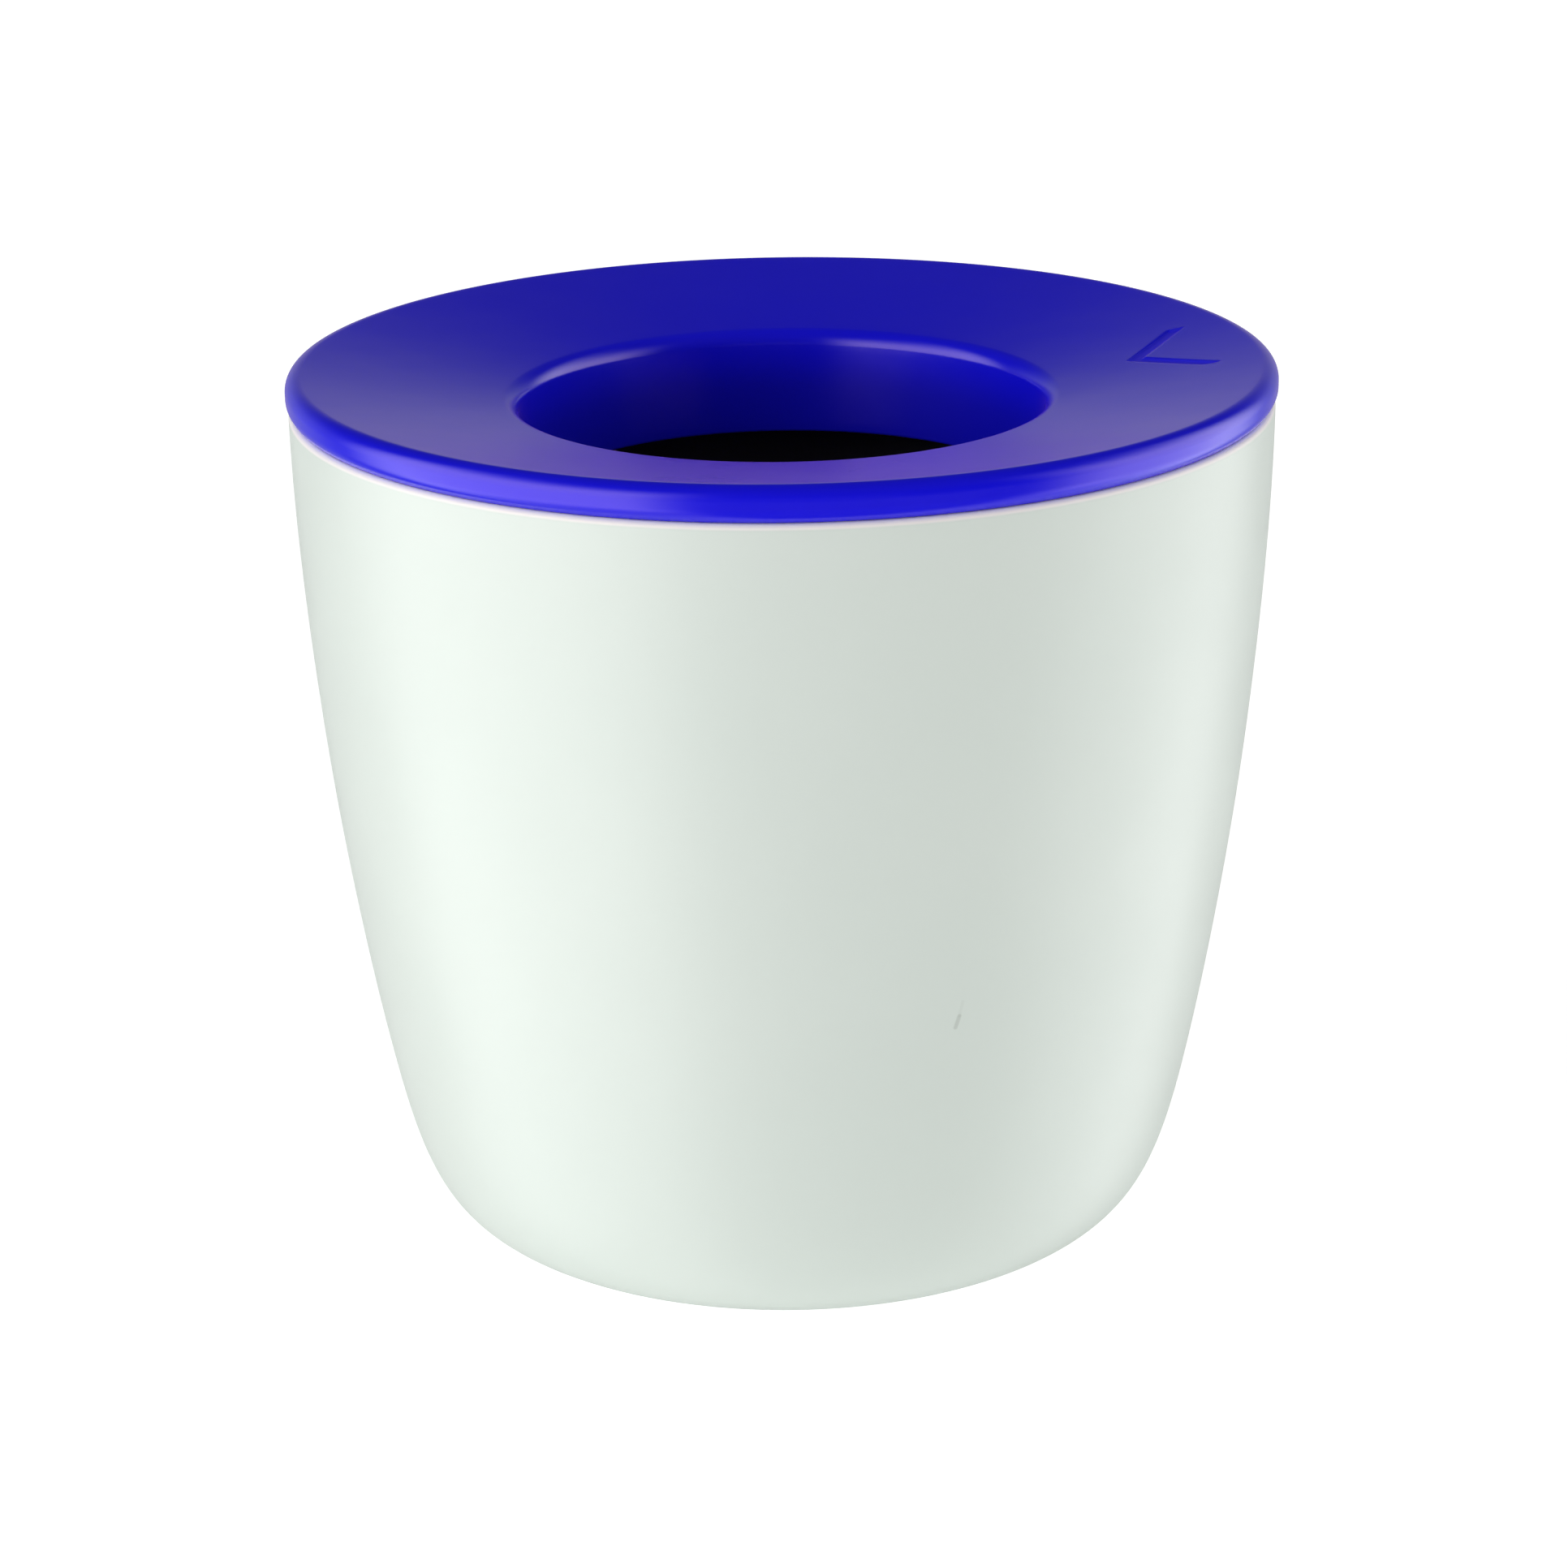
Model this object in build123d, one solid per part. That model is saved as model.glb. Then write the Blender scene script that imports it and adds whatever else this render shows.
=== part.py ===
from build123d import *
import math
import os

# Round wastebasket: a pale outer shell, a removable inner bucket that hangs
# inside it, and a lift-off ring lid with a funnel opening.
# Millimetres, +Z up, origin at the centre of the base on the floor.

# ---------------------------------------------------------------- dimensions
# Outer shell, outer side line as joined cubic curves, (radius, height).
SHELL_SIDE = [
    [(144.28, 253.10), (144.12, 223.70), (141.94, 194.73), (139.61, 170.60)],
    [(139.61, 170.60), (137.29, 146.47), (134.80, 127.19), (131.86, 107.77)],
    [(131.86, 107.77), (128.92, 88.35), (125.51, 68.78), (121.80, 51.21)],
    [(121.80, 51.21), (118.09, 33.63), (114.07, 18.03), (106.83, 9.63)],
    [(106.83, 9.63), (99.58, 1.22), (89.10, 0.00), (71.46, 0.00)],
]
SHELL_WALL = 2.6          # side wall thickness
SHELL_FLOOR = 3.4         # floor thickness at the standing ring
RIM_ROUND = 2.0           # rounding of the rim's outer edge
RECESS_R = 58.0           # shallow recess under the floor
RECESS_DEEP = 1.0
RIB_COUNT = 8             # upright ribs that carry the bucket's flange
RIB_THICK = 2.4
RIB_TIP_R = 136.3
RIB_TOP_Z = 245.7

# Inner bucket.
BUCKET_TOP_R = 135.2      # outer radius just under the flange
BUCKET_TAPER = 6.4        # degrees from upright
BUCKET_WALL = 1.8
BUCKET_FLOOR_Z = 6.2      # underside of the floor
BUCKET_CORNER = 26.0      # outer corner radius at the floor
FLANGE_R = 140.6
FLANGE_Z = 246.0          # underside of the flange
FLANGE_THICK = 1.8

# Ring lid.
LID_R = 145.0             # largest radius
LID_BAND_Z = 257.4        # lower end of the upright band
LID_EDGE_Z = 259.1        # its upper end
LID_EDGE_ROUND = 4.2     # upper rounding of the edge
LID_SEAT_R = 142.37       # lower outer edge, sits on the shell's rim
LID_SEAT_Z = 253.27
LID_WALL = 2.4
SKIRT_R = 141.1           # locating skirt, inside the shell's rim
SKIRT_IN_R = 139.1
SKIRT_BOTTOM_Z = 248.1
HOLE_R = 77.39            # radius where the hole's rounding turns upright
HOLE_ROUND = 5.38
HOLE_ROUND_Z = 248.4
COLLAR_R = 74.2           # funnel collar, inner radius at its lower end
COLLAR_Z = 222.4
MARK_R = 115.5            # sunk arrow that points at the opening
MARK_AZ = 9.0
MARK_LONG = 24.0          # its length along the radius
MARK_WIDE = 45.0          # and across it
MARK_STROKE = 6.0         # length of one arm's end, along the radius
MARK_DEEP = 0.6


def bez(seg, t):
    a, b, c, d = seg
    u = 1 - t
    return tuple(
        u**3 * a[i] + 3 * u * u * t * b[i] + 3 * u * t * t * c[i] + t**3 * d[i]
        for i in (0, 1)
    )


def bez_dir(seg, t):
    a, b, c, d = seg
    u = 1 - t
    v = [
        3 * u * u * (b[i] - a[i]) + 6 * u * t * (c[i] - b[i]) + 3 * t * t * (d[i] - c[i])
        for i in (0, 1)
    ]
    n = math.hypot(*v)
    return v[0] / n, v[1] / n


def rz(r, z):
    return (r, 0, z)


def turned(edges):
    # Edges are drawn in the XZ plane as (r, 0, z).
    return revolve(Face(Wire(edges)), Axis.Z)


# --------------------------------------------------------------- outer shell
outer = [[rz(*p) for p in seg] for seg in SHELL_SIDE]

# Inner side line: the outer one moved inwards by the wall thickness, which
# grows towards the floor.
inner_pts = []
for k, seg in enumerate(SHELL_SIDE):
    steps = (0.0, 0.5) if k < 4 else (0.0, 0.25, 0.5, 0.75)
    for t in steps:
        r, z = bez(seg, t)
        dr, dz = bez_dir(seg, t)
        grow = 0.0 if k < 3 else ((k - 3) + t) / 2
        wall = SHELL_WALL + (SHELL_FLOOR - SHELL_WALL) * grow
        inner_pts.append((r + dz * wall, z - dr * wall))
inner_pts[0] = (inner_pts[0][0], SHELL_SIDE[0][0][1])
inner_end = (71.46, SHELL_FLOOR)
inner_pts.append(inner_end)

rim_top_z = SHELL_SIDE[0][0][1]
shell_edges = [Bezier(*seg) for seg in outer]
shell_edges.append(Line(rz(71.46, 0), rz(RECESS_R + 1.5, 0)))
shell_edges.append(Line(rz(RECESS_R + 1.5, 0), rz(RECESS_R, RECESS_DEEP)))
shell_edges.append(Line(rz(RECESS_R, RECESS_DEEP), rz(0, RECESS_DEEP)))
shell_edges.append(Line(rz(0, RECESS_DEEP), rz(0, SHELL_FLOOR)))
shell_edges.append(Line(rz(0, SHELL_FLOOR), rz(*inner_end)))
shell_edges.append(
    Spline(
        *[rz(*p) for p in reversed(inner_pts)],
        tangents=[(1, 0, 0), (0.006, 0, 1)],
    )
)
shell_edges.append(Line(rz(*inner_pts[0]), rz(*SHELL_SIDE[0][0])))
shell = turned(shell_edges)

# Upright ribs on the inside, flush tops, that the bucket's flange rests on.
rib_end_z = 161.0          # where the wall has closed in to the ribs
for k in range(RIB_COUNT):
    a = 360.0 * k / RIB_COUNT + 22.5
    rib = Face(
        Wire.make_polygon(
            [
                rz(RIB_TIP_R, RIB_TOP_Z),
                rz(142.7, RIB_TOP_Z),
                rz(137.4, rib_end_z),
                rz(RIB_TIP_R, rib_end_z),
            ]
        )
    )
    rib = extrude(rib, amount=RIB_THICK / 2, dir=(0, 1, 0), both=True)
    shell += Rot(0, 0, a) * rib

rim_outer = [
    e
    for e in shell.edges().filter_by(GeomType.CIRCLE)
    if abs(e.radius - SHELL_SIDE[0][0][0]) < 0.05
    and abs(e.arc_center.Z - rim_top_z) < 0.01
]
shell = fillet(rim_outer, RIM_ROUND)
rim_inner = [
    e
    for e in shell.edges().filter_by(GeomType.CIRCLE)
    if abs(e.radius - inner_pts[0][0]) < 0.05 and abs(e.arc_center.Z - rim_top_z) < 0.01
]
shell = fillet(rim_inner, 0.5)

# -------------------------------------------------------------- inner bucket
slope = math.tan(math.radians(BUCKET_TAPER))
bucket_floor_r = BUCKET_TOP_R - (FLANGE_Z - BUCKET_FLOOR_Z) * slope


def cup_line(off):
    # Floor, corner arc and wall of the cup, moved inwards by off.
    cos_t = math.cos(math.radians(BUCKET_TAPER))
    z0 = BUCKET_FLOOR_Z + off
    rad = BUCKET_CORNER - off

    def wall_r(z):
        return BUCKET_TOP_R - (FLANGE_Z - z) * slope - off / cos_t

    half = math.radians(90 - BUCKET_TAPER) / 2
    corner = (wall_r(z0), z0)
    cut = rad * math.tan(half)
    a = (corner[0] - cut, z0)
    wd = (math.sin(math.radians(BUCKET_TAPER)), cos_t)
    b = (corner[0] + wd[0] * cut, z0 + wd[1] * cut)
    c = (a[0], z0 + rad)
    mid_ang = math.radians(-90) + half
    m = (c[0] + rad * math.cos(mid_ang), c[1] + rad * math.sin(mid_ang))
    return a, m, b, wall_r


a1, m1, b1, out_r = cup_line(0.0)
a2, m2, b2, in_r = cup_line(BUCKET_WALL)
flange_top = FLANGE_Z + FLANGE_THICK
bucket_edges = [
    Line(rz(0, BUCKET_FLOOR_Z), rz(*a1)),
    ThreePointArc(rz(*a1), rz(*m1), rz(*b1)),
    Line(rz(*b1), rz(BUCKET_TOP_R, FLANGE_Z)),
    Line(rz(BUCKET_TOP_R, FLANGE_Z), rz(FLANGE_R - 0.6, FLANGE_Z)),
    ThreePointArc(
        rz(FLANGE_R - 0.6, FLANGE_Z),
        rz(FLANGE_R - 0.6 + 0.6 * math.sin(math.pi / 4), FLANGE_Z + 0.6 - 0.6 * math.cos(math.pi / 4)),
        rz(FLANGE_R, FLANGE_Z + 0.6),
    ),
    Line(rz(FLANGE_R, FLANGE_Z + 0.6), rz(FLANGE_R, flange_top - 0.6)),
    ThreePointArc(
        rz(FLANGE_R, flange_top - 0.6),
        rz(FLANGE_R - 0.6 + 0.6 * math.sin(math.pi / 4), flange_top - 0.6 + 0.6 * math.cos(math.pi / 4)),
        rz(FLANGE_R - 0.6, flange_top),
    ),
    Line(rz(FLANGE_R - 0.6, flange_top), rz(in_r(flange_top), flange_top)),
    Line(rz(in_r(flange_top), flange_top), rz(*b2)),
    ThreePointArc(rz(*b2), rz(*m2), rz(*a2)),
    Line(rz(*a2), rz(0, BUCKET_FLOOR_Z + BUCKET_WALL)),
    Line(rz(0, BUCKET_FLOOR_Z + BUCKET_WALL), rz(0, BUCKET_FLOOR_Z)),
]
bucket = turned(bucket_edges)
mouth = [
    e
    for e in bucket.edges().filter_by(GeomType.CIRCLE)
    if abs(e.radius - in_r(flange_top)) < 0.02 and abs(e.arc_center.Z - flange_top) < 0.01
]
bucket = fillet(mouth, 0.9)

# ------------------------------------------------------------------ ring lid
c1 = (LID_R - LID_EDGE_ROUND, LID_EDGE_Z)
c2 = (HOLE_R + HOLE_ROUND, HOLE_ROUND_Z)
span = math.hypot(c1[0] - c2[0], c1[1] - c2[1])
dish = math.atan2(c1[1] - c2[1], c1[0] - c2[0]) + math.asin(
    (LID_EDGE_ROUND - HOLE_ROUND) / span
)
n_dish = (-math.sin(dish), math.cos(dish))
to_c2 = (c2[0] - COLLAR_R, c2[1] - COLLAR_Z)
funnel = math.atan2(to_c2[1], to_c2[0]) + math.asin(HOLE_ROUND / math.hypot(*to_c2))
n_wall = (-math.sin(funnel), math.cos(funnel))


def along(c, n, d):
    return (c[0] + n[0] * d, c[1] + n[1] * d)


def arc_mid(c, n_a, n_b, d):
    v = (n_a[0] + n_b[0], n_a[1] + n_b[1])
    k = d / math.hypot(*v)
    return (c[0] + v[0] * k, c[1] + v[1] * k)


t1 = along(c1, n_dish, LID_EDGE_ROUND)
t2 = along(c2, n_dish, HOLE_ROUND)
t3 = along(c2, n_wall, HOLE_ROUND)
u2 = along(c2, n_dish, HOLE_ROUND - LID_WALL)
u3 = along(c2, n_wall, HOLE_ROUND - LID_WALL)
under = along(c1, n_dish, LID_EDGE_ROUND - LID_WALL)
under_r = SKIRT_IN_R
under_z = under[1] + (under_r - under[0]) * math.tan(dish)
collar_out_r = COLLAR_R + LID_WALL / math.sin(funnel)

lid_edges = [
    Bezier(
        rz(LID_SEAT_R, LID_SEAT_Z),
        rz(143.95, 254.20),
        rz(LID_R, 255.60),
        rz(LID_R, LID_BAND_Z),
    ),
    Line(rz(LID_R, LID_BAND_Z), rz(LID_R, LID_EDGE_Z)),
    ThreePointArc(
        rz(LID_R, LID_EDGE_Z),
        rz(*arc_mid(c1, (1, 0), n_dish, LID_EDGE_ROUND)),
        rz(*t1),
    ),
    Line(rz(*t1), rz(*t2)),
    ThreePointArc(rz(*t2), rz(*arc_mid(c2, n_dish, n_wall, HOLE_ROUND)), rz(*t3)),
    Line(rz(*t3), rz(COLLAR_R, COLLAR_Z)),
    Line(rz(COLLAR_R, COLLAR_Z), rz(collar_out_r, COLLAR_Z)),
    Line(rz(collar_out_r, COLLAR_Z), rz(*u3)),
    ThreePointArc(
        rz(*u3), rz(*arc_mid(c2, n_dish, n_wall, HOLE_ROUND - LID_WALL)), rz(*u2)
    ),
    Line(rz(*u2), rz(under_r, under_z)),
    Line(rz(under_r, under_z), rz(SKIRT_IN_R, SKIRT_BOTTOM_Z)),
    Line(rz(SKIRT_IN_R, SKIRT_BOTTOM_Z), rz(SKIRT_R, SKIRT_BOTTOM_Z)),
    Line(rz(SKIRT_R, SKIRT_BOTTOM_Z), rz(SKIRT_R, LID_SEAT_Z)),
    Line(rz(SKIRT_R, LID_SEAT_Z), rz(LID_SEAT_R, LID_SEAT_Z)),
]
lid = turned(lid_edges)


def rings(part, r, z):
    return [
        e
        for e in part.edges().filter_by(GeomType.CIRCLE)
        if abs(e.radius - r) < 0.02 and abs(e.arc_center.Z - z) < 0.02
    ]


lid = fillet(rings(lid, COLLAR_R, COLLAR_Z) + rings(lid, collar_out_r, COLLAR_Z), 0.8)
lid = fillet(rings(lid, under_r, under_z), 1.5)
lid = fillet(
    rings(lid, SKIRT_IN_R, SKIRT_BOTTOM_Z) + rings(lid, SKIRT_R, SKIRT_BOTTOM_Z), 0.6
)

# Sunk arrow on the dished top: an open chevron cut to an even depth.
mark_z = t2[1] + (MARK_R - t2[0]) * math.tan(dish)
tip, tail, half_w = -MARK_LONG / 2, MARK_LONG / 2, MARK_WIDE / 2
chevron = Polyline(
    (tip, 0),
    (tail - MARK_STROKE, half_w),
    (tail, half_w),
    (tip + MARK_STROKE, 0),
    (tail, -half_w),
    (tail - MARK_STROKE, -half_w),
    (tip, 0),
)
prism = (
    Rot(0, 0, MARK_AZ)
    * Pos(MARK_R, 0, mark_z)
    * Rot(0, -math.degrees(dish), 0)
    * extrude(make_face(chevron), amount=6.0, both=True)
)
band_in, band_out = MARK_R - 22.0, MARK_R + 24.0
drop = MARK_DEEP / math.cos(dish)


def dish_z(r):
    return t2[1] + (r - t2[0]) * math.tan(dish)


band = turned(
    Wire.make_polygon(
        [
            rz(band_in, dish_z(band_in) - drop),
            rz(band_out, dish_z(band_out) - drop),
            rz(band_out, dish_z(band_out) + 3.0),
            rz(band_in, dish_z(band_in) + 3.0),
        ]
    ).edges()
)
lid -= prism & band

# --------------------------------------------------------------------- write
os.makedirs("parts", exist_ok=True)
export_step(shell, "parts/outer_shell.step")
export_step(bucket, "parts/inner_bucket.step")
export_step(lid, "parts/ring_lid.step")
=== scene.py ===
import math

import bpy
import numpy as np
from mathutils import Matrix, Vector


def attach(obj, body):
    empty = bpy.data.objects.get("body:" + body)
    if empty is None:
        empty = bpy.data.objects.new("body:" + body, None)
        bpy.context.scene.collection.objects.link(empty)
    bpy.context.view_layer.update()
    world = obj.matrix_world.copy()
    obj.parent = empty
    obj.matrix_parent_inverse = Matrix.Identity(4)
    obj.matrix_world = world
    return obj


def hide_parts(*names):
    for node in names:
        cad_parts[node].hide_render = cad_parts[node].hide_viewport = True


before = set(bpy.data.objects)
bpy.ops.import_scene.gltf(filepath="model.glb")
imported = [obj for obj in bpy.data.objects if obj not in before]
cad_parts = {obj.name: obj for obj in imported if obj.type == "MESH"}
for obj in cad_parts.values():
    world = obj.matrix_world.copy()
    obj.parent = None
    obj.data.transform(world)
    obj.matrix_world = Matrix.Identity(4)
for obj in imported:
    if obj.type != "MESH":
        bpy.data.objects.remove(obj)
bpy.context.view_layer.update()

# ------------------------------------------------------------------ the shapes
# Millimetres here, turned into metres when a mesh is made.
SHELL_SIDE = [
    [(144.28, 253.10), (144.12, 223.70), (141.94, 194.73), (139.61, 170.60)],
    [(139.61, 170.60), (137.29, 146.47), (134.80, 127.19), (131.86, 107.77)],
    [(131.86, 107.77), (128.92, 88.35), (125.51, 68.78), (121.80, 51.21)],
    [(121.80, 51.21), (118.09, 33.63), (114.07, 18.03), (106.83, 9.63)],
    [(106.83, 9.63), (99.58, 1.22), (89.10, 0.00), (71.46, 0.00)],
]
RIM_Z = 253.10
SHELL_WALL, SHELL_FLOOR = 2.6, 3.4
RIM_ROUND = 2.0
RECESS_R, RECESS_DEEP = 58.0, 1.0
RIB_COUNT, RIB_THICK, RIB_TIP_R, RIB_TOP_Z, RIB_END_Z = 8, 2.4, 136.3, 245.7, 161.0

BUCKET_TOP_R, BUCKET_TAPER, BUCKET_WALL = 135.2, 6.4, 1.8
BUCKET_FLOOR_Z, BUCKET_CORNER = 6.2, 26.0
FLANGE_R, FLANGE_Z, FLANGE_THICK = 140.6, 246.0, 1.8

LID_R, LID_BAND_Z, LID_EDGE_Z, LID_EDGE_ROUND = 145.0, 257.4, 259.1, 4.2
LID_SEAT_R, LID_SEAT_Z, LID_WALL = 142.37, 253.16, 2.4
SKIRT_R, SKIRT_IN_R, SKIRT_BOTTOM_Z = 141.1, 139.1, 248.1
HOLE_R, HOLE_ROUND, HOLE_ROUND_Z = 77.39, 5.38, 248.4
COLLAR_R, COLLAR_Z = 74.2, 222.4
MARK_R, MARK_AZ, MARK_DEEP = 115.5, 9.0, 0.6
MARK_LONG, MARK_WIDE, MARK_STROKE = 24.0, 45.0, 6.0


def bez(seg, t):
    a, b, c, d = (np.array(p, float) for p in seg)
    u = 1 - t
    return u**3 * a + 3 * u * u * t * b + 3 * u * t * t * c + t**3 * d


def bez_dir(seg, t):
    a, b, c, d = (np.array(p, float) for p in seg)
    u = 1 - t
    v = 3 * u * u * (b - a) + 6 * u * t * (c - b) + 3 * t * t * (d - c)
    return v / np.linalg.norm(v)


def arc(c, r, a0, a1, n):
    """Points on a circle about c from angle a0 to a1 in degrees, ends included."""
    return [
        (c[0] + r * math.cos(math.radians(a)), c[1] + r * math.sin(math.radians(a)))
        for a in np.linspace(a0, a1, n)
    ]


def line(p, q, n):
    """n - 1 points between p and q, then q."""
    p, q = np.array(p, float), np.array(q, float)
    return [tuple(p + (q - p) * k / n) for k in range(1, n + 1)]


def columns(extra=(), base=288, gap=0.25):
    """Azimuths in degrees: an even ring, with extra ones put in and crowded ones left out."""
    extra = sorted(e % 360.0 for e in extra)
    even = [360.0 * k / base for k in range(base)]
    if extra:
        ex = np.array(extra)
        even = [
            a
            for a in even
            if np.min(np.abs((ex - a + 180.0) % 360.0 - 180.0)) > gap
        ]
    return np.array(sorted(set(even) | set(extra)))


def turned_mesh(name, R, Z, az, closed):
    """A watertight skin from rows of radius and height, one column per azimuth.
    closed joins the last row to the first; otherwise both end rows are one point on the axis."""
    P, N = R.shape
    a = np.radians(az)
    X, Y = R * np.cos(a) * 0.001, R * np.sin(a) * 0.001
    V = np.stack([X, Y, Z * 0.001], -1)
    if closed:
        verts = V.reshape(-1, 3)
        idx = np.arange(P * N).reshape(P, N)
        idx = np.vstack([idx, idx[:1]])
        caps = []
    else:
        verts = np.vstack([V[0, :1], V[1:-1].reshape(-1, 3), V[-1, :1]])
        idx = 1 + np.arange((P - 2) * N).reshape(P - 2, N)
        last = len(verts) - 1
        nxt = np.roll(np.arange(N), -1)
        caps = [(0, int(idx[0, nxt[k]]), int(idx[0, k])) for k in range(N)]
        caps += [(last, int(idx[-1, k]), int(idx[-1, nxt[k]])) for k in range(N)]
    j = np.roll(idx, -1, axis=1)
    quads = np.stack([idx[:-1], j[:-1], j[1:], idx[1:]], -1).reshape(-1, 4)
    mesh = bpy.data.meshes.new(name)
    mesh.from_pydata(verts.tolist(), [], quads.tolist() + caps)
    mesh.validate()
    mesh.update()
    mesh.shade_smooth()
    mesh.set_sharp_from_angle(angle=math.radians(38))
    ob = bpy.data.objects.new(name, mesh)
    bpy.context.scene.collection.objects.link(ob)
    return ob


def smooth(x, lo, hi):
    t = np.clip((x - lo) / (hi - lo), 0, 1)
    return t * t * (3 - 2 * t)


# --------------------------------------------------------------- outer shell
def make_shell():
    outer, inner = [], []
    for k, seg in enumerate(SHELL_SIDE):
        n = (14, 14, 14, 22, 26)[k]
        for t in np.linspace(0, 1, n, endpoint=False):
            p, d = bez(seg, t), bez_dir(seg, t)
            grow = 0.0 if k < 3 else ((k - 3) + t) / 2
            wall = SHELL_WALL + (SHELL_FLOOR - SHELL_WALL) * grow
            outer.append(tuple(p))
            inner.append((p[0] + d[1] * wall, p[1] - d[0] * wall))
    rim_r = SHELL_SIDE[0][0][0]
    in_r = inner[0][0]
    # underside: floor recess with a gate nub and one shallow ring
    prof = [(0, RECESS_DEEP - 0.35), (2.2, RECESS_DEEP - 0.35), (2.7, RECESS_DEEP)]
    prof += [(3.4, RECESS_DEEP + 0.05), (9.0, RECESS_DEEP), (24.0, RECESS_DEEP)]
    prof += [(24.3, RECESS_DEEP - 0.22), (25.3, RECESS_DEEP - 0.22), (25.6, RECESS_DEEP)]
    prof += [(40.0, RECESS_DEEP), (RECESS_R - 0.5, RECESS_DEEP)]
    prof += arc((RECESS_R - 0.4, RECESS_DEEP - 0.45), 0.45, 90, 28, 5)
    prof += [(RECESS_R + 0.9, 0.18), (RECESS_R + 1.25, 0.03), (RECESS_R + 1.7, 0.0)]
    prof += [(66.0, 0.0), (71.46, 0.0)]
    side = [p for p in reversed(outer) if p[1] < RIM_Z - RIM_ROUND - 0.6]
    prof += side
    prof += arc((rim_r - RIM_ROUND - 0.01, RIM_Z - RIM_ROUND), RIM_ROUND, 0, 90, 15)
    prof += arc((in_r + 0.45, RIM_Z - 0.45), 0.45, 90, 180, 5)
    down = [p for p in inner if p[1] < RIM_Z - 1.2]
    above = [p for p in down if p[1] > RIB_TOP_Z + 0.6]
    ribbed = [p for p in down if RIB_END_Z + 1 < p[1] < RIB_TOP_Z - 0.6]
    below = [p for p in down if p[1] <= RIB_END_Z + 1]

    def inner_r(z):
        zs = np.array([p[1] for p in reversed(inner)])
        rs = np.array([p[0] for p in reversed(inner)])
        return float(np.interp(z, zs, rs))

    rows_r, rows_z, rib_r, rib_z = [], [], [], []

    def put(p, q=None):
        q = p if q is None else q
        rows_r.append(p[0]); rows_z.append(p[1])
        rib_r.append(q[0]); rib_z.append(q[1])

    for p in prof + above:
        put(p)
    put((inner_r(RIB_TOP_Z + 0.02), RIB_TOP_Z + 0.02))
    put((inner_r(RIB_TOP_Z - 0.02), RIB_TOP_Z - 0.02), (RIB_TIP_R + 0.35, RIB_TOP_Z))
    put((inner_r(RIB_TOP_Z - 0.4), RIB_TOP_Z - 0.4), (RIB_TIP_R, RIB_TOP_Z - 0.35))
    for p in ribbed:
        put(p, (min(RIB_TIP_R, p[0]), p[1]))
    for p in below:
        put(p)
    for p in [(71.46, SHELL_FLOOR), (50, SHELL_FLOOR), (25, SHELL_FLOOR), (8, SHELL_FLOOR)]:
        put(p)
    put((0, SHELL_FLOOR))

    half = math.degrees(RIB_THICK / 2 / RIB_TIP_R)
    ribs = [22.5 + 360.0 * k / RIB_COUNT for k in range(RIB_COUNT)]
    extra = [a + d for a in ribs for d in (-half - 0.02, -half, 0, half, half + 0.02)]
    az = columns(extra)
    off = np.min(
        np.abs((az[:, None] - np.array(ribs)[None] + 180) % 360 - 180), axis=1
    )
    on = (off <= half + 0.005)[None, :]
    R = np.where(on, np.array(rib_r)[:, None], np.array(rows_r)[:, None])
    Z = np.where(on, np.array(rib_z)[:, None], np.array(rows_z)[:, None])
    return turned_mesh("shell_moulding", R, Z, az, closed=False)


# -------------------------------------------------------------- inner bucket
def make_bucket():
    tan_t = math.tan(math.radians(BUCKET_TAPER))
    cos_t = math.cos(math.radians(BUCKET_TAPER))

    def wall_r(z, off):
        return BUCKET_TOP_R - (FLANGE_Z - z) * tan_t - off / cos_t

    def corner(off, n):
        z0, rad = BUCKET_FLOOR_Z + off, BUCKET_CORNER - off
        cut = rad * math.tan(math.radians(90 - BUCKET_TAPER) / 2)
        return arc((wall_r(z0, off) - cut, z0 + rad), rad, -90, -BUCKET_TAPER, n)

    top = FLANGE_Z + FLANGE_THICK
    prof = [(0, BUCKET_FLOOR_Z + 0.3), (2.4, BUCKET_FLOOR_Z + 0.3), (2.9, BUCKET_FLOOR_Z)]
    prof += [(30, BUCKET_FLOOR_Z)] + corner(0.0, 22)
    prof += line(prof[-1], (BUCKET_TOP_R - 0.4, FLANGE_Z - 0.9), 14)
    prof += [(BUCKET_TOP_R - 0.1, FLANGE_Z - 0.25), (BUCKET_TOP_R + 0.5, FLANGE_Z)]
    prof += arc((FLANGE_R - 0.6, FLANGE_Z + 0.6), 0.6, -90, 0, 5)
    prof += arc((FLANGE_R - 0.6, top - 0.6), 0.6, 0, 90, 5)
    r_in = wall_r(top, BUCKET_WALL)
    prof += [(r_in + 2.5, top)]
    prof += arc((r_in + 0.9, top - 0.9), 0.9, 90, 180 - BUCKET_TAPER, 6)
    inside = corner(BUCKET_WALL, 22)[::-1]
    prof += line(prof[-1], inside[0], 14) + inside[1:]
    f = BUCKET_FLOOR_Z + BUCKET_WALL
    prof += [(40, f), (38.5, f), (37.9, f + 0.25), (37.1, f + 0.25), (36.5, f), (20, f)]
    prof += [(3.0, f), (0, f)]
    az = columns()
    P = np.array(prof)
    R = np.repeat(P[:, :1], len(az), 1)
    Z = np.repeat(P[:, 1:], len(az), 1)
    return turned_mesh("bucket_moulding", R, Z, az, closed=False)


# ------------------------------------------------------------------ ring lid
def seg_distance(px, py, a, b):
    ax, ay = a
    bx, by = b
    dx, dy = bx - ax, by - ay
    t = np.clip(((px - ax) * dx + (py - ay) * dy) / (dx * dx + dy * dy), 0, 1)
    return np.hypot(px - ax - t * dx, py - ay - t * dy)


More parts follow.
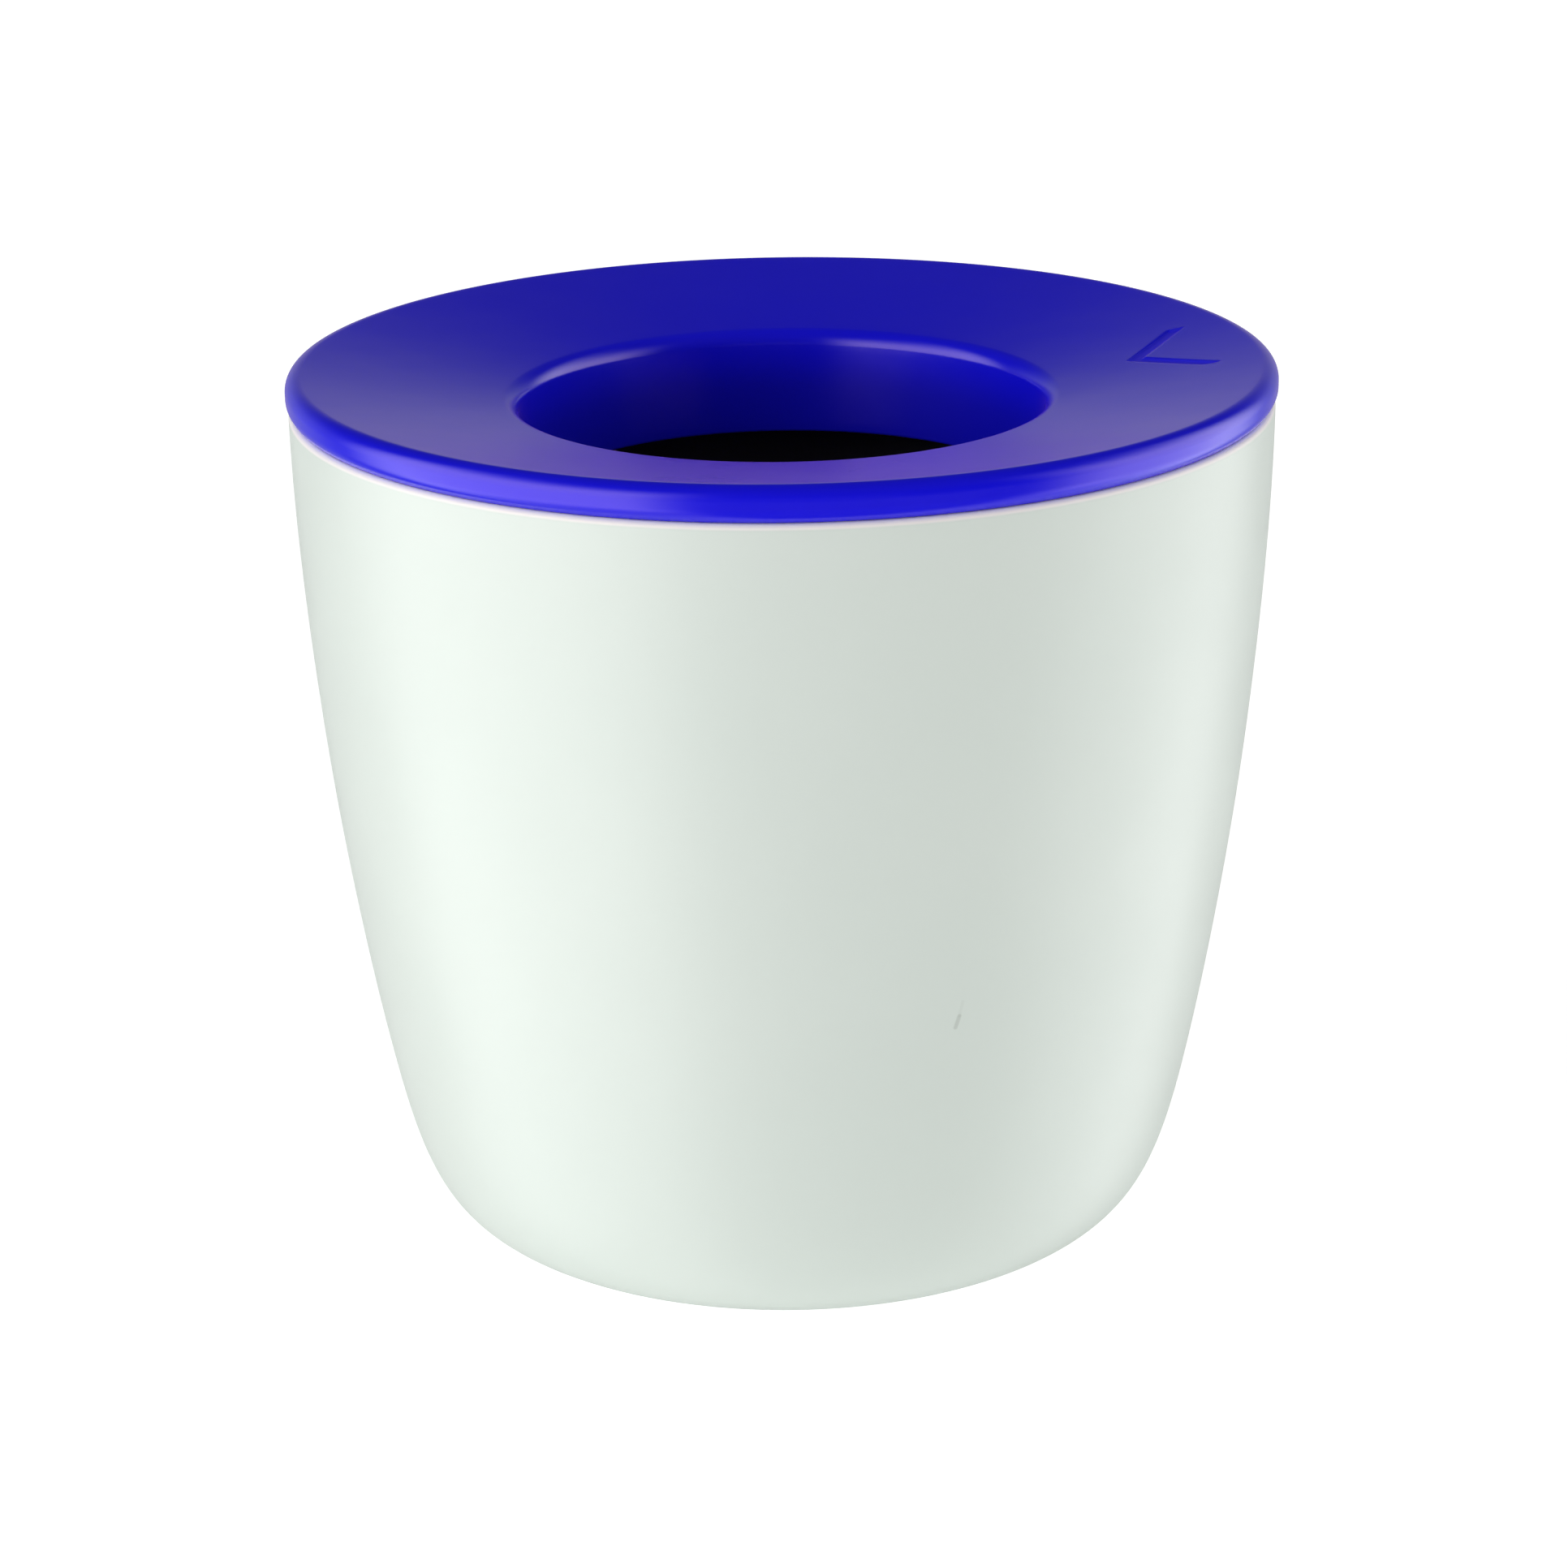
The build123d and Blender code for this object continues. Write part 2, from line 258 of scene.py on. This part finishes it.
def inside_polygon(px, py, poly):
    hit = np.zeros(px.shape, bool)
    n = len(poly)
    for i in range(n):
        (x0, y0), (x1, y1) = poly[i], poly[(i + 1) % n]
        cross = (y0 > py) != (y1 > py)
        with np.errstate(divide="ignore", invalid="ignore"):
            x = (x1 - x0) * (py - y0) / (y1 - y0 if y1 != y0 else 1e-9) + x0
        hit ^= cross & (px < x)
    return hit


def make_lid():
    c1 = (LID_R - LID_EDGE_ROUND, LID_EDGE_Z)
    c2 = (HOLE_R + HOLE_ROUND, HOLE_ROUND_Z)
    gap = math.hypot(c1[0] - c2[0], c1[1] - c2[1])
    dish = math.atan2(c1[1] - c2[1], c1[0] - c2[0]) + math.asin(
        (LID_EDGE_ROUND - HOLE_ROUND) / gap
    )
    to = (c2[0] - COLLAR_R, c2[1] - COLLAR_Z)
    funnel = math.atan2(to[1], to[0]) + math.asin(HOLE_ROUND / math.hypot(*to))
    dish_d, wall_d = 90 + math.degrees(dish), 90 + math.degrees(funnel)

    prof, tag = [], []

    def put(points, name=""):
        for p in points:
            prof.append(tuple(p))
            tag.append(name)

    # lower outer edge, up the rounded rim
    tuck = [(LID_SEAT_R, LID_SEAT_Z), (143.95, 254.20), (LID_R, 255.60), (LID_R, LID_BAND_Z)]
    put([bez(tuck, t) for t in np.linspace(0, 1, 12, endpoint=False)])
    put([(LID_R, LID_BAND_Z), (LID_R, (LID_BAND_Z + LID_EDGE_Z) / 2)])
    put(arc(c1, LID_EDGE_ROUND, 0, dish_d, 26))
    t1, t2 = prof[-1], arc(c2, HOLE_ROUND, dish_d, wall_d, 2)[0]
    # dished top, fine rows where the mark is
    rs = np.concatenate(
        [
            np.linspace(t1[0], 129.2, 7)[1:],
            np.arange(128.9, 102.4, -0.3),
            np.linspace(102.0, t2[0], 13)[:-1],
        ]
    )
    put([(r, t2[1] + (r - t2[0]) * math.tan(dish)) for r in rs], "dish")
    put(arc(c2, HOLE_ROUND, dish_d, wall_d, 26))
    bottom = COLLAR_Z
    wall = prof[-1]
    b_out = COLLAR_R + LID_WALL / math.sin(funnel)
    put(line(wall, (COLLAR_R + 0.22, bottom + 0.8), 12))
    put(
        [
            (COLLAR_R + 0.22, bottom + 0.45),
            (COLLAR_R + 0.42, bottom + 0.15),
            (COLLAR_R + 0.8, bottom),
            (b_out - 0.75, bottom),
            (b_out - 0.3, bottom + 0.15),
            (b_out, bottom + 0.5),
            (b_out + 0.1, bottom + 0.9),
        ]
    )
    put(line(prof[-1], arc(c2, HOLE_ROUND - LID_WALL, wall_d, dish_d, 2)[0], 8))
    put(arc(c2, HOLE_ROUND - LID_WALL, wall_d, dish_d, 14)[1:])
    u2 = prof[-1]
    u_end = (SKIRT_IN_R - 1.5, u2[1] + (SKIRT_IN_R - 1.5 - u2[0]) * math.tan(dish))
    put(line(u2, u_end, 24), "under")
    cx, cz = SKIRT_IN_R - 1.5, u_end[1] - 1.5
    put(arc((cx, cz), 1.5, 80, 0, 6))
    put(line(prof[-1], (SKIRT_IN_R, SKIRT_BOTTOM_Z + 0.6), 5))
    put(arc((SKIRT_IN_R + 0.6, SKIRT_BOTTOM_Z + 0.6), 0.6, 180, 270, 5)[1:])
    put(arc((SKIRT_R - 0.6, SKIRT_BOTTOM_Z + 0.6), 0.6, 270, 360, 5))
    put([(SKIRT_R, SKIRT_BOTTOM_Z + 3.0), (SKIRT_R, LID_SEAT_Z - 0.3)])
    put([(SKIRT_R + 0.1, LID_SEAT_Z - 0.06), (SKIRT_R + 0.35, LID_SEAT_Z)])
    put([(LID_SEAT_R - 0.25, LID_SEAT_Z)])

    P = np.array(prof, float)
    fine = np.arange(MARK_AZ - 12.6, MARK_AZ + 12.61, 0.15)
    az = columns(fine, base=320, gap=0.3)
    R = np.repeat(P[:, :1], len(az), 1)
    Z = np.repeat(P[:, 1:], len(az), 1)

    # sunk arrow, an open chevron that points at the opening
    tip, tail, half_w = -MARK_LONG / 2, MARK_LONG / 2, MARK_WIDE / 2
    poly = [
        (tip, 0.0),
        (tail - MARK_STROKE, half_w),
        (tail, half_w),
        (tip + MARK_STROKE, 0.0),
        (tail, -half_w),
        (tail - MARK_STROKE, -half_w),
    ]
    rows = np.array([t == "dish" for t in tag])
    d_az = np.radians((az - MARK_AZ + 180) % 360 - 180)[None, :]
    rr = R[rows]
    px = (rr * np.cos(d_az) - MARK_R) / math.cos(dish)
    py = rr * np.sin(d_az)
    edge = np.min([seg_distance(px, py, poly[i], poly[(i + 1) % 6]) for i in range(6)], axis=0)
    signed = np.where(inside_polygon(px, py, poly), -edge, edge)
    sink = MARK_DEEP * (1 - smooth(signed, -1.7, 0.2))
    sink = np.where(np.abs(d_az) < 0.3, sink, 0.0)
    R[rows] += math.sin(dish) * sink
    Z[rows] -= math.cos(dish) * sink
    return turned_mesh("lid_moulding", R[::-1], Z[::-1], az, closed=True)


# ------------------------------------------------------------------ materials
class Nodes:
    def __init__(self, name):
        self.mat = bpy.data.materials.new(name)
        self.mat.use_nodes = True
        self.t = self.mat.node_tree
        self.n, self.l = self.t.nodes, self.t.links
        self.bsdf = self.n["Principled BSDF"] if "Principled BSDF" in self.n else None
        if self.bsdf is None:
            self.n.clear()
            self.bsdf = self.n.new("ShaderNodeBsdfPrincipled")
            out = self.n.new("ShaderNodeOutputMaterial")
            self.l.new(self.bsdf.outputs[0], out.inputs[0])
        self.co = self.n.new("ShaderNodeTexCoord").outputs["Object"]

    def noise(self, scale, detail=2.0, rough=0.5, co=None, distort=0.0):
        x = self.n.new("ShaderNodeTexNoise")
        x.inputs["Scale"].default_value = scale
        x.inputs["Detail"].default_value = detail
        x.inputs["Roughness"].default_value = rough
        x.inputs["Distortion"].default_value = distort
        self.l.new(co or self.co, x.inputs["Vector"])
        return x.outputs["Fac"]

    def span(self, v, a, b, c, d, soft=False):
        x = self.n.new("ShaderNodeMapRange")
        x.interpolation_type = "SMOOTHSTEP" if soft else "LINEAR"
        self.l.new(v, x.inputs["Value"])
        for k, q in zip(("From Min", "From Max", "To Min", "To Max"), (a, b, c, d)):
            x.inputs[k].default_value = q
        return x.outputs["Result"]

    def math(self, op, a, b=None, c=None, clamp=False):
        x = self.n.new("ShaderNodeMath")
        x.operation = op
        x.use_clamp = clamp
        for k, q in enumerate((a, b, c)):
            if q is None:
                continue
            if isinstance(q, (int, float)):
                x.inputs[k].default_value = q
            else:
                self.l.new(q, x.inputs[k])
        return x.outputs[0]

    def mix(self, f, a, b, kind="MIX"):
        x = self.n.new("ShaderNodeMix")
        x.data_type = "RGBA"
        x.blend_type = kind
        for s, q in (("Factor", f), ("A", a), ("B", b)):
            sock = [i for i in x.inputs if i.name == s and i.enabled and
                    (i.type == "VALUE" if s == "Factor" else i.type == "RGBA")][0]
            if isinstance(q, (int, float)):
                sock.default_value = q
            elif isinstance(q, tuple):
                sock.default_value = (*q, 1.0)
            else:
                self.l.new(q, sock)
        return [o for o in x.outputs if o.type == "RGBA"][0]

    def bump(self, height, strength, distance, normal=None):
        x = self.n.new("ShaderNodeBump")
        x.inputs["Strength"].default_value = strength
        x.inputs["Distance"].default_value = distance
        self.l.new(height, x.inputs["Height"])
        if normal is not None:
            self.l.new(normal, x.inputs["Normal"])
        return x.outputs["Normal"]

    def axis(self, k):
        x = self.n.new("ShaderNodeSeparateXYZ")
        self.l.new(self.co, x.inputs[0])
        return x.outputs[k]

    def specks(self, scale, size, share):
        """Sparse round dots: 1 inside a dot, 0 outside."""
        x = self.n.new("ShaderNodeTexVoronoi")
        x.feature = "F1"
        x.inputs["Scale"].default_value = scale
        self.l.new(self.co, x.inputs["Vector"])
        dot = self.span(x.outputs["Distance"], size * 0.5, size, 1.0, 0.0, soft=True)
        sep = self.n.new("ShaderNodeSeparateColor")
        self.l.new(x.outputs["Color"], sep.inputs[0])
        keep = self.math("LESS_THAN", sep.outputs[0], share)
        return self.math("MULTIPLY", dot, keep)

    def stroke(self, a, b, width):
        """A soft short stroke from a to b in metres: 1 on it, 0 away from it."""
        a, b = Vector(a), Vector(b)
        d = b - a
        sub = self.n.new("ShaderNodeVectorMath"); sub.operation = "SUBTRACT"
        self.l.new(self.co, sub.inputs[0]); sub.inputs[1].default_value = a
        dot = self.n.new("ShaderNodeVectorMath"); dot.operation = "DOT_PRODUCT"
        self.l.new(sub.outputs[0], dot.inputs[0])
        dot.inputs[1].default_value = d / d.length_squared
        t = self.math("MULTIPLY", dot.outputs["Value"], 1.0, clamp=True)
        sc = self.n.new("ShaderNodeVectorMath"); sc.operation = "SCALE"
        sc.inputs[0].default_value = d
        self.l.new(t, sc.inputs["Scale"])
        off = self.n.new("ShaderNodeVectorMath"); off.operation = "DISTANCE"
        self.l.new(sub.outputs[0], off.inputs[0]); self.l.new(sc.outputs[0], off.inputs[1])
        return self.span(off.outputs["Value"], width * 0.35, width, 1.0, 0.0, soft=True)

    def put(self, name, v):
        sock = self.bsdf.inputs[name]
        if isinstance(v, (int, float)):
            sock.default_value = v
        elif isinstance(v, tuple):
            sock.default_value = (*v, 1.0)
        else:
            self.l.new(v, sock)


def shell_material():
    m = Nodes("shell_plastic_satin")
    z = m.axis(2)
    base, shade = (0.636, 0.692, 0.644), (0.616, 0.675, 0.628)
    cloud = m.span(m.noise(5.0, 3.0), 0.35, 0.65, 0.0, 1.0, soft=True)
    col = m.mix(cloud, base, shade)
    # painted highlight: the rim's ledge is painted a little lighter and warmer, standing in for the light its
    # upward-facing rounded corner catches
    rim_ledge_painted_highlight = m.span(z, 0.2513, 0.2521, 0.0, 1.0, soft=True)
    col = m.mix(rim_ledge_painted_highlight, col, (0.91, 0.865, 0.80))
    # a short scuff from use, darker at its lower end
    scuff = m.math(
        "ADD",
        m.math("MULTIPLY", m.stroke((0.04785, -0.12312, 0.10940), (0.04690, -0.12275, 0.10489), 0.0007), 0.12),
        m.math("MULTIPLY", m.stroke((0.04690, -0.12275, 0.10489), (0.04584, -0.12256, 0.10141), 0.0009), 0.45),
    )
    col = m.mix(scuff, col, (0.36, 0.40, 0.36))
    m.put("Base Color", col)
    smear = m.noise(26.0, 4.0, 0.6, distort=0.4)
    rough = m.span(smear, 0.3, 0.7, 0.31, 0.39)
    m.put("Roughness", rough)
    m.put("IOR", 1.49)
    grain = m.noise(2600.0, 2.0, 0.6)
    wave = m.noise(46.0, 1.0, 0.4)
    n = m.bump(wave, 0.25, 0.0004)
    n = m.bump(grain, 0.18, 0.00006, n)
    m.put("Normal", n)
    return m.mat


def lid_material():
    m = Nodes("lid_plastic_satin")
    cloud = m.span(m.noise(7.0, 3.0), 0.35, 0.65, 0.0, 1.0, soft=True)
    col = m.mix(cloud, (0.0042, 0.0038, 0.68), (0.0050, 0.0044, 0.655))
    # painted shade: the funnel's collar is painted darker towards its lower end, standing in for the shade
    # deep in the opening
    collar_painted_shade = m.span(m.axis(2), 0.251, 0.234, 0.0, 0.85, soft=True)
    col = m.mix(collar_painted_shade, col, (0.0042, 0.0038, 0.40))
    dust = m.specks(130.0, 0.042, 0.035)
    col = m.mix(m.math("MULTIPLY", dust, 0.5), col, (0.62, 0.60, 0.80))
    m.put("Base Color", col)
    smear = m.noise(30.0, 4.0, 0.6, distort=0.5)
    rough = m.span(smear, 0.3, 0.7, 0.165, 0.195)
    # the sunk arrow was left with a matte finish by its tool
    tip, tail = MARK_LONG / 2 - MARK_STROKE / 2, MARK_WIDE / 2 - 1.0
    centre = Vector((MARK_R * 0.001, 0.0, 0.2587))
    turn = Matrix.Rotation(math.radians(MARK_AZ), 3, "Z")
    arms = None
    for side in (-1, 1):
        a = turn @ (centre + Vector((-tip, 0.0, -tip * 0.18)) * 0.001)
        b = turn @ (centre + Vector((tip, side * tail, tip * 0.18)) * 0.001)
        arm = m.stroke(a, b, 0.0027)
        arms = arm if arms is None else m.math("MAXIMUM", arms, arm)
    m.put("Roughness", m.math("ADD", rough, m.math("MULTIPLY", arms, 0.4)))
    m.put("Sheen Weight", 0.26)
    m.put("Sheen Roughness", 0.22)
    m.put("Sheen Tint", (0.55, 0.20, 1.0))
    m.put("IOR", 1.55)
    m.put("Specular Tint", (1.0, 0.72, 1.0))
    grain = m.noise(2400.0, 2.0, 0.6)
    wave = m.noise(55.0, 1.0, 0.4)
    n = m.bump(wave, 0.22, 0.0004)
    n = m.bump(grain, 0.15, 0.00006, n)
    n = m.bump(dust, 0.3, 0.00006, n)
    m.put("Normal", n)
    return m.mat


def bucket_material():
    m = Nodes("bucket_plastic_matte")
    cloud = m.span(m.noise(9.0, 4.0), 0.35, 0.65, 0.0, 1.0, soft=True)
    m.put("Base Color", m.mix(cloud, (0.034, 0.030, 0.035), (0.038, 0.034, 0.039)))
    m.put("Roughness", m.span(m.noise(40.0, 4.0, 0.6), 0.3, 0.7, 0.50, 0.62))
    m.put("IOR", 1.45)
    n = m.bump(m.noise(1400.0, 3.0, 0.7), 0.35, 0.00012)
    m.put("Normal", n)
    return m.mat


def floor_material():
    m = Nodes("studio_floor")
    cloud = m.noise(1.3, 2.0)
    m.put("Base Color", m.mix(m.span(cloud, 0.3, 0.7, 0.0, 1.0), (0.70, 0.70, 0.70), (0.72, 0.72, 0.72)))
    m.put("Roughness", 0.9)
    m.put("Specular IOR Level", 0.0)
    m.put("Emission Color", (1.0, 1.0, 1.0))
    m.put("Emission Strength", 0.67)
    return m.mat


# ---------------------------------------------------------------- the pieces
shell = make_shell()
bucket = make_bucket()
lid = make_lid()
for ob, mat, node, body, slot in (
    (shell, shell_material(), "outer_shell", "outer_body", "shell_plastic"),
    (bucket, bucket_material(), "inner_bucket", "bucket", "bucket_plastic"),
    (lid, lid_material(), "ring_lid", "lid", "lid_plastic"),
):
    ob.data.materials.append(mat)
    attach(ob, body)
    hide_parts(node)

# ------------------------------------------------------------------ the stage
scene = bpy.context.scene
scene.view_settings.view_transform = "Standard"
scene.view_settings.look = "None"
scene.view_settings.exposure = 0.0
scene.view_settings.gamma = 1.0

bpy.ops.mesh.primitive_plane_add(size=30.0, location=(0, 0, -0.0002))
floor = bpy.context.object
floor.name = "studio_floor"
floor.data.materials.append(floor_material())
floor.visible_glossy = False

world = bpy.data.worlds.new("studio")
scene.world = world
world.use_nodes = True
wt = world.node_tree
wt.nodes.clear()


def wn(kind, **sets):
    x = wt.nodes.new(kind)
    for k, v in sets.items():
        setattr(x, k, v)
    return x


def wmath(op, a, b=None, clamp=False):
    x = wn("ShaderNodeMath", operation=op, use_clamp=clamp)
    for k, q in enumerate((a, b)):
        if q is None:
            continue
        if isinstance(q, (int, float)):
            x.inputs[k].default_value = q
        else:
            wt.links.new(q, x.inputs[k])
    return x.outputs[0]


def wspan(v, a, b, c, d):
    x = wn("ShaderNodeMapRange", interpolation_type="SMOOTHSTEP")
    wt.links.new(v, x.inputs["Value"])
    for k, q in zip(("From Min", "From Max", "To Min", "To Max"), (a, b, c, d)):
        x.inputs[k].default_value = q
    return x.outputs["Result"]


# A tall white screen to the left of the camera and a lower one further round to
# the right, a dim white wall behind the object, and darkness between and above.
# Azimuths are from the camera's side, to the right; "up" is the sine of elevation.
DIM = 0.04
LEFT, LEFT_AZ, LEFT_IN, LEFT_OUT = 2.8, -66.0, (28.0, 48.0), (28.0, 54.0)
LEFT_TOP = (0.34, 0.90)
RIGHT, RIGHT_AZ, RIGHT_IN, RIGHT_OUT = 2.6, 98.0, (14.0, 44.0), (18.0, 46.0)
RIGHT_TOP = (0.26, 0.84)
BACK, BACK_IN, BACK_OUT, BACK_TOP = 0.31, 100.0, 140.0, (0.05, 0.50)
co = wn("ShaderNodeTexCoord").outputs["Generated"]
sep = wn("ShaderNodeSeparateXYZ")
wt.links.new(co, sep.inputs[0])
up = sep.outputs[2]
az = wmath("ARCTAN2", sep.outputs[0], wmath("MULTIPLY", sep.outputs[1], -1.0))
rad = math.radians


def screen(level, centre, inner, outer, top):
    """One screen: inner is the edge towards azimuth 0, outer the one away from it."""
    side = math.copysign(1.0, centre)
    away = wmath("MULTIPLY", wmath("SUBTRACT", az, rad(centre)), side)
    m = wmath(
        "MULTIPLY",
        wspan(away, -rad(inner[1]), -rad(inner[0]), 0.0, 1.0),
        wspan(away, rad(outer[0]), rad(outer[1]), 1.0, 0.0),
    )
    m = wmath("MULTIPLY", m, wspan(up, -0.88, -0.48, 0.25, 1.0))
    return wmath("MULTIPLY", wmath("MULTIPLY", m, wspan(up, *top, 1.0, 0.0)), level)


sides = wmath(
    "ADD",
    screen(LEFT, LEFT_AZ, LEFT_IN, LEFT_OUT, LEFT_TOP),
    screen(RIGHT, RIGHT_AZ, RIGHT_IN, RIGHT_OUT, RIGHT_TOP),
)
back = wmath(
    "MULTIPLY",
    wspan(wmath("ABSOLUTE", az), rad(BACK_IN), rad(BACK_OUT), 0.0, BACK),
    wspan(up, *BACK_TOP, 1.0, 0.0),
)
level = wmath("ADD", wmath("ADD", sides, back), DIM)
bg = wn("ShaderNodeBackground")
bg.inputs["Color"].default_value = (1.0, 1.0, 1.0, 1.0)
wt.links.new(level, bg.inputs["Strength"])
wout = wn("ShaderNodeOutputWorld")
wt.links.new(bg.outputs[0], wout.inputs[0])


def softbox(name, at, look, size, power, glossy=True):
    data = bpy.data.lights.new(name, "AREA")
    data.shape = "RECTANGLE"
    data.size, data.size_y = size
    data.energy = power
    ob = bpy.data.objects.new(name, data)
    scene.collection.objects.link(ob)
    ob.location = at
    ob.rotation_euler = (Vector(look) - Vector(at)).to_track_quat("-Z", "Y").to_euler()
    ob.visible_glossy = glossy
    ob.visible_camera = False
    return ob


softbox("fill_front", (0.10, -1.6, 0.62), (0, 0, 0.13), (1.2, 0.7), 3.0, glossy=False)
sky = bpy.data.lights.new("sky_soft", "SUN")
sky.energy, sky.angle = 0.46, math.radians(110)
sky_ob = bpy.data.objects.new("sky_soft", sky)
scene.collection.objects.link(sky_ob)
sky_ob.visible_glossy = False

# ----------------------------------------------------------------- the camera
ELEVATION, DISTANCE, ROLL = 19.065, 1.305, -0.80
TARGET = Vector((-0.00095, 0.0, 0.13148))
cam_data = bpy.data.cameras.new("camera")
cam_data.sensor_width = 36.0
cam_data.lens = 36.0 * 5306.2 / 1932.0
cam_data.clip_start, cam_data.clip_end = 0.01, 60.0
cam = bpy.data.objects.new("camera", cam_data)
scene.collection.objects.link(cam)
e = math.radians(ELEVATION)
forward = Vector((0.0, math.cos(e), -math.sin(e)))
cam.location = TARGET - forward * DISTANCE
look = forward.to_track_quat("-Z", "Y").to_matrix()
cam.rotation_euler = (look @ Matrix.Rotation(math.radians(ROLL), 3, "Z")).to_euler()
scene.camera = cam

bpy.context.view_layer.update()
